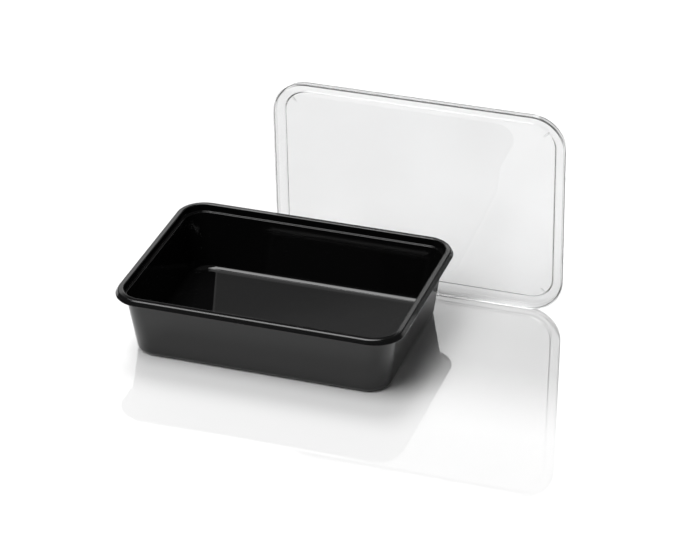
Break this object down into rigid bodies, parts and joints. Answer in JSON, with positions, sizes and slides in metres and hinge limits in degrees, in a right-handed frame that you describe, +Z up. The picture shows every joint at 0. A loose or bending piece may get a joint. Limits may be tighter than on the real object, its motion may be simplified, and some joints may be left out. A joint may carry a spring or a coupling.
{
  "type": "takeaway meal container",
  "caption": "Shallow rectangular black plastic food tray with a turned-down rim and inner ledge, its clear lid standing behind it and leaning on the rim.",
  "frame": {"origin": "centre of the tray's flat underside", "axes": "+X along the tray's length, +Y towards the lid behind the tray, +Z up"},
  "size_m": [0.2349, 0.134, 0.1298],
  "materials": {
    "tray": "moulded black polypropylene, glossy inside, satin outside",
    "lid": "thin clear moulded plastic, smooth, faintly wavy"
  },
  "bodies": {
    "root": {"tray": "tray", "lid": "lid"}
  },
  "joints": []
}
